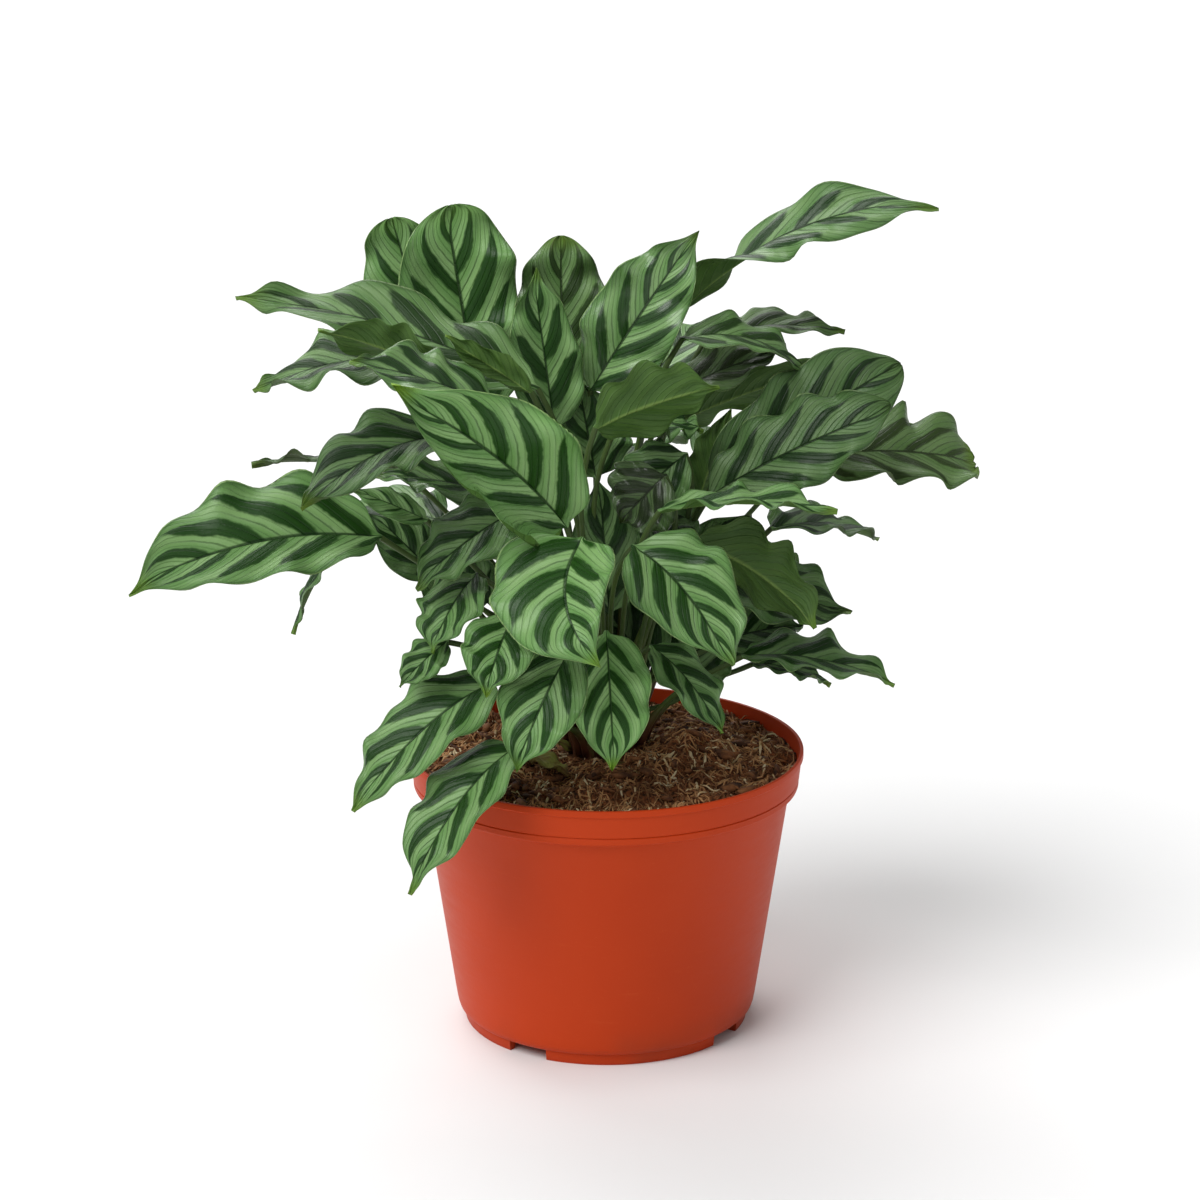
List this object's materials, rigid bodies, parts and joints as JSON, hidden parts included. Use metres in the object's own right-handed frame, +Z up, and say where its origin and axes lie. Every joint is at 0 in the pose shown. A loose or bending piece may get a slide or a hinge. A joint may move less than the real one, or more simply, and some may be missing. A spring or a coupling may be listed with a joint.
{
  "type": "potted prayer plant",
  "caption": "Prayer plant with feather-striped oval leaves on slender stalks, growing from peat in a plain round plastic nursery pot with a collar and a slotted foot.",
  "frame": {"origin": "middle of the pot's underside pad, on the surface that the pot stands on", "axes": "+Z up along the pot's axis; -Y is the front, the side that the plant is seen from; +X is to the viewer's right"},
  "size_m": [0.3283, 0.2343, 0.3294],
  "materials": {
    "terracotta_plastic": "satin",
    "peat_soil": "matte",
    "crown_sheath": "matte",
    "striped_leaf": "satin",
    "withered_leaf": "matte"
  },
  "bodies": {
    "root": {"pot": "terracotta_plastic", "potting_soil": "peat_soil", "crown": "crown_sheath", "leaf_front_hero": "striped_leaf", "leaf_front_heart": "striped_leaf", "leaf_front_low_bright": "striped_leaf", "leaf_front_over_rim": "striped_leaf", "leaf_front_low_left": "striped_leaf", "leaf_front_hanging": "striped_leaf", "leaf_front_right_droop": "striped_leaf", "leaf_withered": "withered_leaf", "leaf_front_right": "striped_leaf", "leaf_centre_underside": "striped_leaf", "leaf_centre_crinkled": "striped_leaf", "leaf_left_long": "striped_leaf", "leaf_left_middle": "striped_leaf", "leaf_left_glossy": "striped_leaf", "leaf_left_sheen": "striped_leaf", "leaf_left_dark": "striped_leaf", "leaf_left_small": "striped_leaf", "leaf_left_young": "striped_leaf", "leaf_left_tiny": "striped_leaf", "leaf_left_low": "striped_leaf", "leaf_left_new": "striped_leaf", "leaf_left_upper": "striped_leaf", "leaf_left_upper_under": "striped_leaf", "leaf_left_back_low": "striped_leaf", "leaf_left_edge": "striped_leaf", "leaf_left_hanging": "striped_leaf", "leaf_tall_left": "striped_leaf", "leaf_tall_left_back": "striped_leaf", "leaf_centre_upright": "striped_leaf", "leaf_centre_back": "striped_leaf", "leaf_top_centre": "striped_leaf", "leaf_top_right_long": "striped_leaf", "leaf_right_arching": "striped_leaf", "leaf_right_upper": "striped_leaf", "leaf_right_olive": "striped_leaf", "leaf_right_under": "striped_leaf", "leaf_right_big_back": "striped_leaf", "leaf_right_big_front": "striped_leaf", "leaf_right_far": "striped_leaf", "leaf_right_spear": "striped_leaf", "leaf_right_dark_inner": "striped_leaf", "leaf_right_level": "striped_leaf", "leaf_right_arched_under": "striped_leaf", "leaf_right_low_dark": "striped_leaf", "leaf_right_low": "striped_leaf", "leaf_right_low_back": "striped_leaf", "leaf_back_low_left": "striped_leaf", "leaf_back_side_left": "striped_leaf", "leaf_back_low": "striped_leaf", "leaf_back_low_right": "striped_leaf", "leaf_back_side_right": "striped_leaf", "leaf_back_middle_left": "striped_leaf", "leaf_back_middle": "striped_leaf", "leaf_back_middle_right": "striped_leaf", "leaf_back_high_left": "striped_leaf", "leaf_back_high_right": "striped_leaf", "leaf_back_over_rim": "striped_leaf"}
  },
  "joints": []
}
